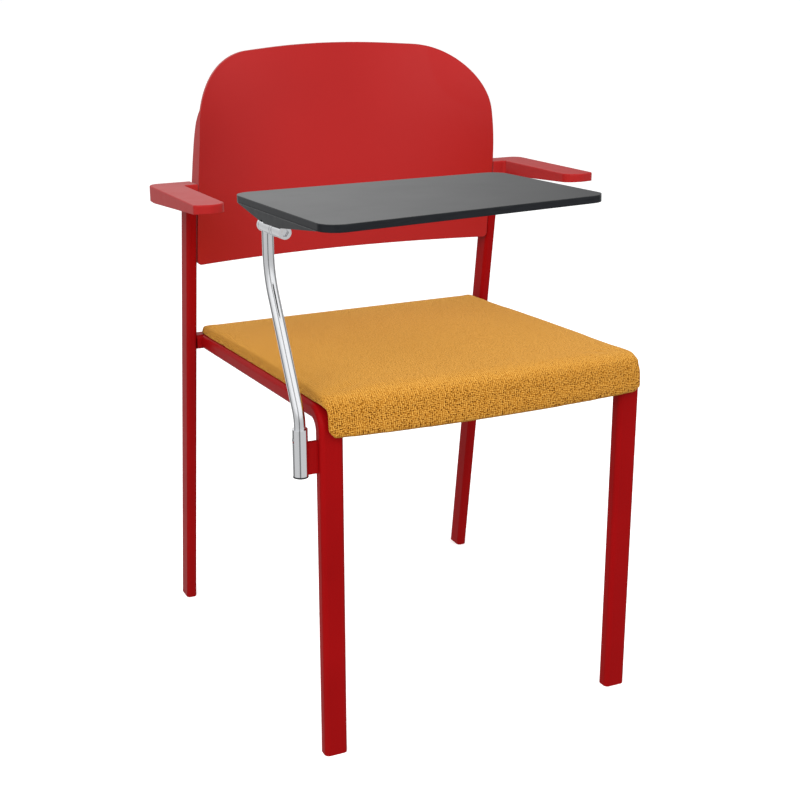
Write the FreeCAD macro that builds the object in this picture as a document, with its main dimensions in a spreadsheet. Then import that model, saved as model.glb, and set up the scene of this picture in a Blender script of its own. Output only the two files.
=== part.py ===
# Tablet arm chair: tubular frame, upholstered seat, moulded back and arms, folding writing tablet.
# Millimetres. +Z up, the sitter faces -Y, +X is the sitter's left. Origin on the floor, mid-footprint.
import FreeCAD
import Part
import Sketcher
import math
import os

# Driving dimensions: alias, value, meaning
SIZES = [
    ("tube_wide", 30.0, "front leg and seat rail tube, across X"),
    ("tube_deep", 20.0, "front leg and seat rail tube, fore and aft"),
    ("tube_corner", 6.0, "outside corner radius of that tube"),
    ("tube_wall", 1.5, "wall of all frame tubes"),
    ("front_leg_x", 206.5, "front leg centre from the middle"),
    ("front_leg_reach", 217.5, "front leg centre ahead of the origin"),
    ("rail_slope", 3.5, "degrees that seat and rails rise to the front"),
    ("rail_bend", 22.0, "centre-line radius from leg to rail"),
    ("seat_plane", 448.8, "height of the rail tops over the origin"),
    ("leg_wide", 15.0, "rear leg tube, across X"),
    ("leg_deep", 30.0, "rear leg tube, fore and aft"),
    ("leg_corner", 5.0, "outside corner radius of that tube"),
    ("rear_leg_step", 6.2, "rear leg inside face outboard of the side rails"),
    ("rear_foot_reach", 298.3, "rear leg centre behind the origin at the floor"),
    ("rear_lean", 8.3, "degrees that the rear legs lean forward"),
    ("foot_height", 5.0, "foot under the end of a leg"),
    ("foot_plug", 18.0, "part of a foot inside its leg"),
    ("plug_clearance", 0.2, "gap round a plug in its tube"),
    ("cross_wide", 25.0, "front cross rail, fore and aft"),
    ("front_cross_setback", 52.5, "front cross rail behind the front legs"),
    ("seat_overhang", 13.0, "side of the seat cover outboard of the rail's middle"),
    ("seat_tail", 12.24, "rear edge of the seat behind the rails' rear end"),
    ("apron_depth", 7.27, "front apron, fore and aft at its ends"),
    ("seat_bow", 15.0, "how far the front face bows forward in the middle"),
    ("seat_side", 13.0, "height of the seat side over the rail"),
    ("seat_crown", 6.0, "rise of the seat middle over its sides"),
    ("seat_edge_crown", 1.5, "rise of the seat side between its ends"),
    ("seat_crown_radius", 3600.0, "fore and aft curve of the crown"),
    ("seat_roll", 24.0, "front roll radius"),
    ("seat_drop", 38.0, "front apron below the rail tops"),
    ("seat_hem", 4.0, "radius at the lower front edge"),
    ("seat_corner", 16.0, "radius of the lower apron corners"),
    ("seat_rear_corner", 4.0, "radius of the rear corners, seen from above"),
    ("seat_draw", 2.5, "how far the seat sides are drawn in"),
    ("apron_gap", 0.8, "apron clear of the front legs"),
    ("cover_thickness", 1.5, "fabric cover with its backing"),
    ("cover_clearance", 0.3, "cover to foam"),
    ("board_thickness", 8.0, "seat plywood"),
    ("board_inset", 6.0, "plywood edge inside the cover"),
    ("board_lip", 28.0, "front lip below the rail tops"),
    ("board_lip_gap", 7.5, "sides of the lip clear of the front legs"),
    ("board_bend", 7.0, "outside radius of the lip bend"),
    ("seat_screw_offset", 6.5, "seat screws inboard of the rail's middle"),
    ("seat_screw_front", 97.5, "front seat screws behind the front legs"),
    ("seat_screw_rear", 71.8, "rear seat screws ahead of the rails' rear end"),
    ("screw_shank", 5.0, "seat screw diameter"),
    ("screw_head", 9.0, "screw head diameter"),
    ("screw_head_height", 3.0, "screw head height"),
    ("nut_diameter", 9.0, "insert nut diameter"),
    ("hole_clearance", 0.1, "radial gap round a screw or nut"),
    ("trim_margin", 2.0, "stock left past a trimmed edge"),
    ("flange_gap", 0.3, "back shell's sides clear of the rear legs"),
    ("back_hang", 94.5, "lower edge of the back shell below the leg tops"),
    ("back_waist", 88.5, "second back section above the lower edge"),
    ("back_shoulder", 158.5, "third back section above the lower edge"),
    ("back_limit", 303.5, "last back section above the lower edge"),
    ("back_wall", 6.0, "back shell thickness, fore and aft"),
    ("back_proud", 1.4, "back shell edge ahead of the rear legs"),
    ("back_sag", 26.755, "depth of the back's curve at its lower edge"),
    ("back_recline", 8.0, "degrees that the back's middle leans back"),
    ("back_wing_sweep", 45.0, "how far the side edges fall back at the top"),
    ("back_peak", 292.0, "where the top edge tangents meet, above the lower edge"),
    ("back_fall", 13.0, "drop of those tangents at the sides"),
    ("back_top_radius", 1500.0, "curve of the top edge"),
    ("back_corner", 100.0, "upper corner radius"),
    ("back_foot_corner", 6.0, "lower corner radius"),
    ("back_taper", 12.0, "how far the sides draw together at the top"),
    ("back_taper_start", 126.5, "where they start to, above the lower edge"),
    ("back_taper_radius", 1400.0, "curve of the sides there"),
    ("flange_wall", 6.0, "side flange thickness"),
    ("flange_stock", 60.0, "depth of the stock that the flanges are cut from"),
    ("flange_bend", 198.5, "where the flange's rear edge turns forward, above the lower edge"),
    ("flange_bend_radius", 170.0, "curve of that turn"),
    ("flange_top", 233.5, "where the flange runs out, above the lower edge"),
    ("back_screw_low", 28.5, "lower back screws above the lower edge"),
    ("back_screw_high", 14.0, "upper back screws below the leg tops"),
    ("back_screw_shank", 4.0, "back screw diameter"),
    ("back_screw_length", 14.0, "back screw under its head"),
    ("leg_rise", 187.2, "rear leg tops over the rail tops"),
    ("arm_thickness", 20.5, "armrest at its rear end"),
    ("arm_climb", 7.5, "rise of the armrest top to its front end"),
    ("arm_tip", 11.5, "armrest thickness at its front end"),
    ("arm_step", 19.2, "armrest pad outboard of its inward bar's end"),
    ("arm_width", 42.0, "armrest pad across"),
    ("arm_length", 196.0, "armrest front end ahead of the leg top's middle"),
    ("arm_rear", 16.5, "armrest rear end behind the leg top's middle"),
    ("arm_notch", 19.5, "front of the armrest's inward bar ahead of the leg top's middle"),
    ("arm_seat", 16.0, "flat underside on the leg, ahead of the leg top's middle"),
    ("arm_bulge", 6.0, "bulge of the armrest front end"),
    ("arm_bulge_radius", 18.0, "curve of that bulge"),
    ("arm_outer_corner", 7.0, "armrest front outer corner"),
    ("arm_tip_corner", 18.0, "armrest front inner corner"),
    ("arm_rear_corner", 16.0, "armrest rear outer corner"),
    ("arm_notch_corner", 4.0, "armrest inside corner"),
    ("arm_edge", 1.6, "armrest top edge rounding"),
    ("arm_gap", 0.4, "armrest clear of the back shell"),
    ("arm_plug_length", 26.0, "armrest plug inside the rear leg"),
    ("post_reach", 21.0, "tablet arm axis outboard of the front leg"),
    ("post_setback", 2.5, "tablet arm axis behind the front leg centre"),
    ("socket_radius", 9.3, "socket tube outside radius"),
    ("socket_drop", 71.8, "lower end of the socket below the rail tops"),
    ("socket_length", 60.0, "length of the socket"),
    ("socket_plug_disc", 2.0, "plug disc under the socket"),
    ("socket_plug_stem", 3.0, "plug stem inside the socket"),
    ("slot_height", 6.6, "height of the limiting slot"),
    ("slot_level", 46.0, "middle of the limiting slot above the socket's lower end"),
    ("swivel_out", 90.0, "degrees that the arm turns outward"),
    ("swivel_in", 30.0, "degrees that the arm turns inward"),
    ("pin_bearing", 146.0, "direction of the stop pin from +X"),
    ("pin_radius", 2.5, "stop pin radius"),
    ("pin_inner", 3.0, "inner end of the stop pin from the axis"),
    ("slot_margin", 21.5, "degrees from the pin's middle to the end of the slot"),
    ("bracket_lift", 2.0, "lower edge of the socket bracket above the socket's lower end"),
    ("bracket_height", 40.0, "height of the socket bracket"),
    ("bracket_wall", 6.0, "thickness of the socket bracket"),
    ("arm_radius", 7.0, "tablet arm tube outside radius"),
    ("arm_tube_wall", 1.5, "tablet arm tube wall"),
    ("running_gap", 0.05, "radial gap of turning fits"),
    ("end_gap", 0.2, "axial gap of turning fits"),
    ("arm_plug_disc", 2.0, "plug disc under the arm tube"),
    ("arm_plug_stem", 10.0, "plug stem inside the arm tube"),
    ("arm_bend_low", 38.0, "lower bend radius of the tablet arm"),
    ("arm_bend_high", 100.0, "upper bend radius of the tablet arm"),
    ("arm_kink", 73.0, "lower bend above the socket's lower end"),
    ("arm_set", 90.0, "how far the arm is bent back"),
    ("arm_incline", 30.5, "degrees of the inclined stretch from upright"),
    ("hinge_rise", 282.8, "hinge axis at the arm above the socket's lower end"),
    ("hinge_tilt", 2.58, "degrees that the tablet rises to the front"),
    ("barrel_radius", 8.25, "hinge barrel outside radius"),
    ("barrel_rear", 8.0, "rear end of the barrel behind the arm"),
    ("barrel_front", 26.0, "front end of the barrel ahead of the arm"),
    ("axle_radius", 4.0, "hinge axle radius"),
    ("washer_thickness", 1.3, "friction washer"),
    ("lug_thickness", 5.0, "hinge lug along the axle"),
    ("lug_neck", 6.0, "half width of a lug neck"),
    ("lug_rise", 14.5, "lug neck above the axis"),
    ("cap_length", 25.5, "front hinge cap"),
    ("cap_radius", 7.8, "front hinge cap radius"),
    ("cap_bore", 10.0, "axle inside the front cap"),
    ("key_flat", 8.0, "hexagon recess across flats"),
    ("key_depth", 3.5, "hexagon recess depth"),
    ("nut_length", 4.0, "rear hinge nut"),
    ("nut_radius", 6.4, "rear hinge nut radius"),
    ("tablet_rise", 17.5, "tablet underside above the hinge axis"),
    ("tablet_core_thickness", 8.2, "tablet board"),
    ("laminate_thickness", 0.8, "tablet top sheet"),
    ("tablet_overhang", 8.0, "tablet rear corner outboard of the axis"),
    ("tablet_toe", 4.5, "how far its front corner stands in"),
    ("tablet_width", 380.5, "tablet across, to its inboard front corner"),
    ("tablet_splay", 9.0, "how far its inboard rear corner stands in"),
    ("tablet_rear", 103.5, "tablet rear edge behind the arm"),
    ("tablet_outer_length", 295.3, "tablet outboard edge"),
    ("tablet_inner_length", 254.5, "tablet inboard edge"),
    ("tablet_corner", 24.0, "tablet corner radius"),
    ("support_gap", 0.3, "support clear of the barrel"),
    ("support_arm_gap", 0.8, "support clear of the arm tube when folded"),
    ("support_proud", 1.0, "support outboard of the tablet's edge"),
    ("support_base", 3.7, "support base above the axis"),
    ("support_base_rear", 7.0, "rear end of the support base ahead of the arm"),
    ("support_base_front", 38.0, "front end of the support base ahead of the arm"),
    ("support_base_inner", 23.0, "support base inboard of the axis"),
    ("support_top_rear", 78.0, "support top behind the arm"),
    ("support_top_front", 166.0, "support top ahead of the arm"),
    ("support_top_inner", 70.0, "support top inboard of the axis"),
    ("support_screw_x", 14.0, "support screws inboard of the axis"),
    ("support_screw_level", 12.5, "underside of their heads above the axis"),
    ("support_screw_head", 6.4, "support screw head diameter"),
    ("support_screw_head_height", 2.5, "support screw head height"),
    ("support_screw_shank", 3.4, "support screw diameter"),
    ("support_screw_bite", 5.5, "support screw inside the tablet"),
]
# Places of the support screws along the hinge, ahead of the arm
SUPPORT_SCREW_PLACES = [("first", -44.0), ("second", 2.0), ("third", 50.0), ("fourth", 112.0)]
# Seat sections: share of the half width, and share of the full crown and bow there
SEAT_STATIONS = [(-1.0, 0.0), (-0.5, 0.75), (0.0, 1.0), (0.5, 0.75), (1.0, 0.0)]
# Share of a drawn-in side that is curved
SIDE_CURVE = 0.8
# Corners of the sector that cuts the limiting slot, as shares of its sweep
SLOT_SHARES = [0.0, 1 / 3, 2 / 3, 1.0]
# Distance at which an edge counts as lying in a face
TOUCH = 0.01

doc = FreeCAD.newDocument("tablet_arm_chair")
sheet = doc.addObject("Spreadsheet::Sheet", "Sizes")


class Size:
    """A dimension that carries both its number and the expression that binds it to the sheet."""

    def __init__(self, value, text):
        self.value = value
        self.text = text

    def __add__(self, other):
        other = as_size(other)
        return Size(self.value + other.value, f"({self.text} + {other.text})")

    def __sub__(self, other):
        other = as_size(other)
        return Size(self.value - other.value, f"({self.text} - {other.text})")

    def __mul__(self, other):
        other = as_size(other)
        return Size(self.value * other.value, f"({self.text} * {other.text})")

    def __truediv__(self, other):
        other = as_size(other)
        return Size(self.value / other.value, f"({self.text} / {other.text})")

    def __neg__(self):
        return Size(-self.value, f"(-1 * {self.text})")

    __radd__ = __add__
    __rmul__ = __mul__

    def __rsub__(self, other):
        return as_size(other) - self


def as_size(number):
    if isinstance(number, Size):
        return number
    return Size(float(number), repr(float(number)))


def sine(angle):
    return Size(math.sin(math.radians(angle.value)), f"sin({angle.text} * 1deg)")


def cosine(angle):
    return Size(math.cos(math.radians(angle.value)), f"cos({angle.text} * 1deg)")


def tangent(angle):
    return Size(math.tan(math.radians(angle.value)), f"tan({angle.text} * 1deg)")


def square(size):
    return size * size


class Dimensions:
    """The sheet's cells by name."""


def fill_sheet():
    """Write every driving dimension to its own aliased cell."""
    sizes = Dimensions()
    named = SIZES + [(f"support_screw_{name}", place, "support screw ahead of the arm")
                     for name, place in SUPPORT_SCREW_PLACES]
    for row, (alias, value, meaning) in enumerate(named, start=1):
        sheet.set(f"A{row}", alias)
        sheet.set(f"B{row}", repr(value))
        sheet.set(f"C{row}", meaning)
        sheet.setAlias(f"B{row}", alias)
        setattr(sizes, alias, Size(value, f"Sizes.{alias}"))
    doc.recompute()
    return sizes


S = fill_sheet()
SUPPORT_SCREWS = [getattr(S, f"support_screw_{name}") for name, along in SUPPORT_SCREW_PLACES]
SUBPARTS = []
ZERO = as_size(0)
HEXAGON_SIDES = 6
HEXAGON_TURN = as_size(360) / HEXAGON_SIDES


def bind(thing, name, size):
    thing.setExpression(name, as_size(size).text)


def sub_part(thing, label):
    thing.Label = label
    SUBPARTS.append(thing)
    return thing


def place(thing, base, tilt=None):
    """Bind a base point and, where given, a tilt that lifts the front, about the X axis."""
    x, y, z = [as_size(value) for value in base]
    angle = tilt.value if tilt else 0.0
    turn = FreeCAD.Rotation(FreeCAD.Vector(-1, 0, 0), angle)
    thing.Placement = FreeCAD.Placement(FreeCAD.Vector(x.value, y.value, z.value), turn)
    for axis, size in zip("xyz", (x, y, z)):
        bind(thing, f"Placement.Base.{axis}", size)
    if tilt:
        bind(thing, "Placement.Rotation.Angle", tilt)


def new_body(name):
    return doc.addObject("PartDesign::Body", name)


def origin_plane(body, role):
    for feature in body.Origin.OriginFeatures:
        if feature.Role == role:
            return feature
    raise ValueError(f"no plane {role}")


def new_sketch(body, role, offset=ZERO):
    """A sketch on one of the body's own planes, moved along its normal."""
    sketch = body.newObject("Sketcher::SketchObject", f"{body.Name}_sketch")
    sketch.AttachmentSupport = (origin_plane(body, role), [""])
    sketch.MapMode = "FlatFace"
    offset = as_size(offset)
    sketch.AttachmentOffset = FreeCAD.Placement(FreeCAD.Vector(0, 0, offset.value), FreeCAD.Rotation())
    bind(sketch, "AttachmentOffset.Base.z", offset)
    return sketch


def constrain(sketch, kind, *what, size=None):
    """Add a constraint, bound to the sheet where it has a size."""
    if size is None:
        sketch.addConstraint(Sketcher.Constraint(kind, *what))
        return
    size = as_size(size)
    index = sketch.addConstraint(Sketcher.Constraint(kind, *what, size.value))
    bind(sketch, f"Constraints[{index}]", size)


def fix_point(sketch, geometry, end, x, y):
    constrain(sketch, "DistanceX", -1, 1, geometry, end, size=x)
    constrain(sketch, "DistanceY", -1, 1, geometry, end, size=y)


def vector(x, y):
    return FreeCAD.Vector(as_size(x).value, as_size(y).value, 0)


def circle(sketch, x, y, radius):
    radius = as_size(radius)
    ring = sketch.addGeometry(Part.Circle(vector(x, y), FreeCAD.Vector(0, 0, 1), radius.value), False)
    fix_point(sketch, ring, 3, x, y)
    constrain(sketch, "Radius", ring, size=radius)


def corner_shape(before, corner, after, radius):
    """Tangent points, centre and turning side of a rounded corner."""
    arriving = (corner - before).normalize()
    leaving = (after - corner).normalize()
    turn = math.atan2(arriving.x * leaving.y - arriving.y * leaving.x, arriving.dot(leaving))
    trim = radius * math.tan(abs(turn) / 2)
    side = 1 if turn > 0 else -1
    first = corner - arriving * trim
    last = corner + leaving * trim
    centre = first + FreeCAD.Vector(-arriving.y, arriving.x, 0) * (radius * side)
    return first, last, centre, side


def trace(sketch, corners, closed=True):
    """Draw lines through corners (x, y, radius or None), with tangent arcs at the rounded ones."""
    points = [vector(x, y) for x, y, radius in corners]
    count = len(points)
    entries = list(points)
    exits = list(points)
    rounds = {}
    for index, (x, y, radius) in enumerate(corners):
        if radius is None:
            continue
        following = points[(index + 1) % count]
        shape = corner_shape(points[index - 1], points[index], following, as_size(radius).value)
        entries[index] = shape[0]
        exits[index] = shape[1]
        rounds[index] = shape
    lines = {}
    for index in range(count if closed else count - 1):
        following = (index + 1) % count
        edge = Part.LineSegment(exits[index], entries[following])
        lines[index] = sketch.addGeometry(edge, False)
    for index, (x, y, radius) in enumerate(corners):
        arriving = lines.get((index - 1) % count)
        leaving = lines.get(index)
        if index in rounds:
            first, last, centre, side = rounds[index]
            begin, end = (first, last) if side > 0 else (last, first)
            angles = [math.atan2(point.y - centre.y, point.x - centre.x) for point in (begin, end)]
            ring = Part.Circle(centre, FreeCAD.Vector(0, 0, 1), as_size(radius).value)
            arc = sketch.addGeometry(Part.ArcOfCircle(ring, angles[0], angles[1]), False)
            mark = sketch.addGeometry(Part.Point(points[index]), True)
            constrain(sketch, "Tangent", arriving, 2, arc, 1 if side > 0 else 2)
            constrain(sketch, "Tangent", arc, 2 if side > 0 else 1, leaving, 1)
            fix_point(sketch, mark, 1, x, y)
            constrain(sketch, "PointOnObject", mark, 1, arriving)
            constrain(sketch, "PointOnObject", mark, 1, leaving)
            constrain(sketch, "Radius", arc, size=radius)
        elif arriving is None:
            fix_point(sketch, leaving, 1, x, y)
        else:
            fix_point(sketch, arriving, 2, x, y)
            if leaving is not None:
                constrain(sketch, "Coincident", arriving, 2, leaving, 1)


def rectangle(sketch, half_x, half_y, corner=None, x=ZERO, y=ZERO):
    trace(sketch, [(x - half_x, y - half_y, corner), (x + half_x, y - half_y, corner),
                   (x + half_x, y + half_y, corner), (x - half_x, y + half_y, corner)])


def tube_section(sketch, wide, deep, corner, wall, x=ZERO, y=ZERO):
    rectangle(sketch, wide / 2, deep / 2, corner, x, y)
    rectangle(sketch, wide / 2 - wall, deep / 2 - wall, corner - wall, x, y)


def pad(body, sketch, length, both=False, back=False, along=None):
    feature = body.newObject("PartDesign::Pad", f"{body.Name}_pad")
    feature.Profile = sketch
    feature.Length = as_size(length).value
    bind(feature, "Length", length)
    feature.SideType = "Symmetric" if both else "One side"
    feature.Reversed = back
    if along is not None:
        feature.UseCustomVector = True
        feature.AlongSketchNormal = True
        feature.Direction = FreeCAD.Vector(0, along[0].value, along[1])
        bind(feature, "Direction.y", along[0])
    body.Tip = feature
    return feature


def pocket(body, sketch, length=None, both=False, back=False):
    feature = body.newObject("PartDesign::Pocket", f"{body.Name}_pocket")
    feature.Profile = sketch
    if length is None:
        feature.Type = "ThroughAll"
    else:
        feature.Length = as_size(length).value
        bind(feature, "Length", length)
    feature.SideType = "Symmetric" if both else "One side"
    feature.Reversed = back
    body.Tip = feature
    return feature


def round_edges(body, base, radius, chosen):
    """Round the edges of a feature that a test picks."""
    doc.recompute()
    names = [f"Edge{number}" for number, edge in enumerate(base.Shape.Edges, start=1) if chosen(edge)]
    feature = body.newObject("PartDesign::Fillet", f"{body.Name}_fillet")
    feature.Base = (base, names)
    feature.Radius = radius.value
    bind(feature, "Radius", radius)
    body.Tip = feature
    return feature


def pipe(body, section, path):
    feature = body.newObject("PartDesign::AdditivePipe", f"{body.Name}_pipe")
    feature.Profile = section
    doc.recompute()
    feature.Spine = (path, [f"Edge{number}" for number in range(1, len(path.Shape.Edges) + 1)])
    feature.Mode = "Standard"
    body.Tip = feature
    return feature


def loft(body, sketches, ruled=False):
    feature = body.newObject("PartDesign::AdditiveLoft", f"{body.Name}_loft")
    feature.Profile = sketches[0]
    feature.Sections = sketches[1:]
    feature.Ruled = ruled
    body.Tip = feature
    return feature


def cut(name, base, tool):
    thing = doc.addObject("Part::Cut", name)
    thing.Base = base
    thing.Tool = tool
    return thing


Z_AXIS = FreeCAD.Vector(0, 0, 1)
SIDES = [("right", -1), ("left", 1)]
RAIL_SIDE = S.front_leg_x + S.tube_wide / 2
REAR_LEG_INSIDE = RAIL_SIDE + S.rear_leg_step
REAR_LEG_X = REAR_LEG_INSIDE + S.leg_wide / 2
LEG_TOP = S.seat_plane + S.leg_rise

# The seat's own frame lies on the rail tops and is tilted with them
SEAT_FRAME = (ZERO, ZERO, S.seat_plane)


def seat_frame_point(y, z):
    """A point of the chair, seen in the seat's frame."""
    height = z - S.seat_plane
    along = cosine(S.rail_slope) * y - sine(S.rail_slope) * height
    above = sine(S.rail_slope) * y + cosine(S.rail_slope) * height
    return along, above


def rear_leg_y(height):
    """Middle of a rear leg at a height."""
    return S.rear_foot_reach - tangent(S.rear_lean) * height


REAR_LEG_DEEP = S.leg_deep / cosine(S.rear_lean)
RAIL_MIDDLE = -S.tube_deep / 2
REAR_CROSS_Y = seat_frame_point(rear_leg_y(S.seat_plane - S.leg_deep), S.seat_plane)[0]
RAIL_END = REAR_CROSS_Y - S.leg_deep / 2
SEAT_SCREW_X = S.front_leg_x - S.seat_screw_offset
SEAT_SCREW_PLACES = [S.seat_screw_front - S.front_leg_reach, RAIL_END - S.seat_screw_rear]


def make_side_frame(side, sign):
    """Front leg and seat rail, bent from one tube."""
    body = sub_part(new_body(f"side_frame_{side}"), f"side_frame_{side}")
    place(body, SEAT_FRAME, S.rail_slope)
    centre = sign * S.front_leg_x
    foot_y, foot_z = seat_frame_point(-S.front_leg_reach, S.foot_height)
    corner_y = foot_y + (foot_z - RAIL_MIDDLE) * tangent(S.rail_slope)
    path = new_sketch(body, "YZ_Plane", centre)
    trace(path, [(RAIL_END, RAIL_MIDDLE, None), (corner_y, RAIL_MIDDLE, S.rail_bend), (foot_y, foot_z, None)],
          closed=False)
    section = new_sketch(body, "XZ_Plane", -RAIL_END)
    tube_section(section, S.tube_wide, S.tube_deep, S.tube_corner, S.tube_wall, centre, RAIL_MIDDLE)
    pipe(body, section, path)
    holes = new_sketch(body, "XY_Plane")
    for along in SEAT_SCREW_PLACES:
        circle(holes, sign * SEAT_SCREW_X, along, S.screw_shank / 2 + S.hole_clearance)
    pocket(body, holes, S.tube_deep)


def make_cross_rails():
    """Tubes across the chair, under the seat."""
    front = sub_part(new_body("front_cross_rail"), "front_cross_rail")
    place(front, SEAT_FRAME, S.rail_slope)
    section = new_sketch(front, "YZ_Plane")
    middle = S.front_cross_setback - S.front_leg_reach
    tube_section(section, S.cross_wide, S.tube_deep, S.tube_corner, S.tube_wall, middle, RAIL_MIDDLE)
    pad(front, section, S.front_leg_x * 2 - S.tube_wide, both=True)
    rear = sub_part(new_body("rear_cross_rail"), "rear_cross_rail")
    place(rear, SEAT_FRAME, S.rail_slope)
    section = new_sketch(rear, "YZ_Plane")
    tube_section(section, S.leg_deep, S.tube_deep, S.tube_corner, S.tube_wall, REAR_CROSS_Y, RAIL_MIDDLE)
    pad(rear, section, REAR_LEG_X * 2 - S.leg_wide, both=True)


def back_screw_points():
    """Places of the back screws along a rear leg."""
    heights = (BACK_BOTTOM + S.back_screw_low, LEG_TOP - S.back_screw_high)
    return [(rear_leg_y(height), height) for height in heights]


def make_rear_leg(side, sign):
    """Leaning tube from the floor into the armrest."""
    body = sub_part(new_body(f"rear_leg_{side}"), f"rear_leg_{side}")
    place(body, (sign * REAR_LEG_X, ZERO, ZERO))
    section = new_sketch(body, "XY_Plane", S.foot_height)
    middle = rear_leg_y(S.foot_height)
    tube_section(section, S.leg_wide, REAR_LEG_DEEP, S.leg_corner, S.tube_wall, ZERO, middle)
    pad(body, section, LEG_TOP - S.foot_height, along=(-tangent(S.rear_lean), 1))
    holes = new_sketch(body, "YZ_Plane")
    for y, z in back_screw_points():
        circle(holes, y, z, S.back_screw_shank / 2 + S.hole_clearance)
    pocket(body, holes, S.leg_wide, back=sign < 0)


def make_front_foot(side, sign):
    """Foot plugged into a front leg."""
    body = sub_part(new_body(f"front_foot_{side}"), f"front_foot_{side}")
    place(body, (sign * S.front_leg_x, -S.front_leg_reach, ZERO))
    sole = new_sketch(body, "XY_Plane")
    rectangle(sole, S.tube_wide / 2, S.tube_deep / 2, S.tube_corner)
    pad(body, sole, S.foot_height)
    plug = new_sketch(body, "XY_Plane", S.foot_height)
    inset = S.tube_wall + S.plug_clearance
    rectangle(plug, S.tube_wide / 2 - inset, S.tube_deep / 2 - inset, S.tube_corner - inset)
    pad(body, plug, S.foot_plug)


def make_rear_foot(side, sign):
    """Foot plugged into a rear leg."""
    body = sub_part(new_body(f"rear_foot_{side}"), f"rear_foot_{side}")
    place(body, (sign * REAR_LEG_X, ZERO, ZERO))
    lean = (-tangent(S.rear_lean), 1)
    sole = new_sketch(body, "XY_Plane")
    rectangle(sole, S.leg_wide / 2, REAR_LEG_DEEP / 2, S.leg_corner, ZERO, S.rear_foot_reach)
    pad(body, sole, S.foot_height, along=lean)
    plug = new_sketch(body, "XY_Plane", S.foot_height)
    inset = S.tube_wall + S.plug_clearance
    rectangle(plug, S.leg_wide / 2 - inset, REAR_LEG_DEEP / 2 - inset, S.leg_corner - inset,
              ZERO, rear_leg_y(S.foot_height))
    pad(body, plug, S.foot_plug, along=lean)


APRON_BACK = -(S.front_leg_reach + S.tube_deep / 2 + S.apron_gap) / cosine(S.rail_slope)
SEAT_FRONT = S.apron_depth - APRON_BACK
SEAT_REAR = RAIL_END + S.seat_tail
SEAT_HALF = S.front_leg_x + S.seat_overhang
BOARD_HALF = SEAT_HALF - S.seat_draw - S.board_inset
BOARD_REAR = SEAT_REAR - S.board_inset


def make_seat_board():
    """Bent plywood on the rails, with a lip behind the front apron."""
    body = sub_part(new_body("seat_board"), "seat_board")
    place(body, SEAT_FRAME, S.rail_slope)
    lip_rear = APRON_BACK + S.board_thickness
    lip_half = S.front_leg_x - S.tube_wide / 2 - S.board_lip_gap
    profile = new_sketch(body, "YZ_Plane")
    trace(profile, [(BOARD_REAR, ZERO, None), (BOARD_REAR, S.board_thickness, None),
                    (APRON_BACK, S.board_thickness, S.board_bend), (APRON_BACK, -S.board_lip, None),
                    (lip_rear, -S.board_lip, None), (lip_rear, ZERO, None)])
    pad(body, profile, BOARD_HALF * 2, both=True)
    for side, sign in SIDES:
        trimmed = new_sketch(body, "XZ_Plane", -lip_rear)
        middle = sign * (lip_half + BOARD_HALF) / 2
        rectangle(trimmed, (BOARD_HALF - lip_half) / 2, S.board_lip / 2, None, middle, -S.board_lip / 2)
        pocket(body, trimmed, S.board_thickness, back=True)
    holes = new_sketch(body, "XY_Plane")
    for side, sign in SIDES:
        for along in SEAT_SCREW_PLACES:
            circle(holes, sign * SEAT_SCREW_X, along, S.nut_diameter / 2 + S.hole_clearance)
    pocket(body, holes, S.board_thickness, back=True)


def drawn_in(half, front, rear, draw):
    """Middle corner and radius of a side that is drawn in between a front and a rear corner."""
    reach = (rear - front) / 2
    depth = draw * 2
    return half - depth, (front + rear) / 2, square(reach) * SIDE_CURVE / depth


def seat_form(name, inset, base):
    """The crowned seat with drawn-in sides and a front roll, shrunk by an inset, open to a base level."""
    body = new_body(name)
    place(body, SEAT_FRAME, S.rail_slope)
    half = SEAT_HALF - inset
    rear = SEAT_REAR - inset
    side = S.seat_side - inset
    drop = S.seat_drop - inset
    sketches = []
    for across, fullness in SEAT_STATIONS:
        front = -(SEAT_FRONT - inset + S.seat_bow * fullness)
        crown = side + S.seat_edge_crown + S.seat_crown * fullness
        nose = side + S.seat_crown * (fullness / 2)
        sketch = new_sketch(body, "YZ_Plane", (half + S.trim_margin) * across)
        trace(sketch, [(rear + S.trim_margin, base, None), (rear + S.trim_margin, side, None),
                       (ZERO, crown, S.seat_crown_radius), (front, nose, S.seat_roll - inset),
                       (front, -drop, S.seat_hem), (APRON_BACK, -drop, None), (APRON_BACK, base, None)])
        sketches.append(sketch)
    loft(body, sketches)
    nose_limit = -(SEAT_FRONT + S.seat_bow + S.trim_margin)
    waist_x, waist_y, waist_radius = drawn_in(half, -SEAT_FRONT, rear, S.seat_draw)
    stock_front = nose_limit - S.trim_margin
    stock_rear = rear + S.trim_margin * 2
    plan = new_sketch(body, "XY_Plane")
    rectangle(plan, half + S.trim_margin * 2, (stock_rear - stock_front) / 2, None,
              ZERO, (stock_rear + stock_front) / 2)
    trace(plan, [(half, nose_limit, None), (half, -SEAT_FRONT, None), (waist_x, waist_y, waist_radius),
                 (half, rear, S.seat_rear_corner - inset), (-half, rear, S.seat_rear_corner - inset),
                 (-waist_x, waist_y, waist_radius), (-half, -SEAT_FRONT, None), (-half, nose_limit, None)])
    pocket(body, plan, both=True)
    elevation = new_sketch(body, "XZ_Plane")
    rectangle(elevation, half + S.trim_margin, drop + S.trim_margin)
    trace(elevation, [(-half, -drop, S.seat_corner - inset), (half, -drop, S.seat_corner - inset),
                      (half, drop, None), (-half, drop, None)])
    pocket(body, elevation, both=True)
    return body


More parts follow.
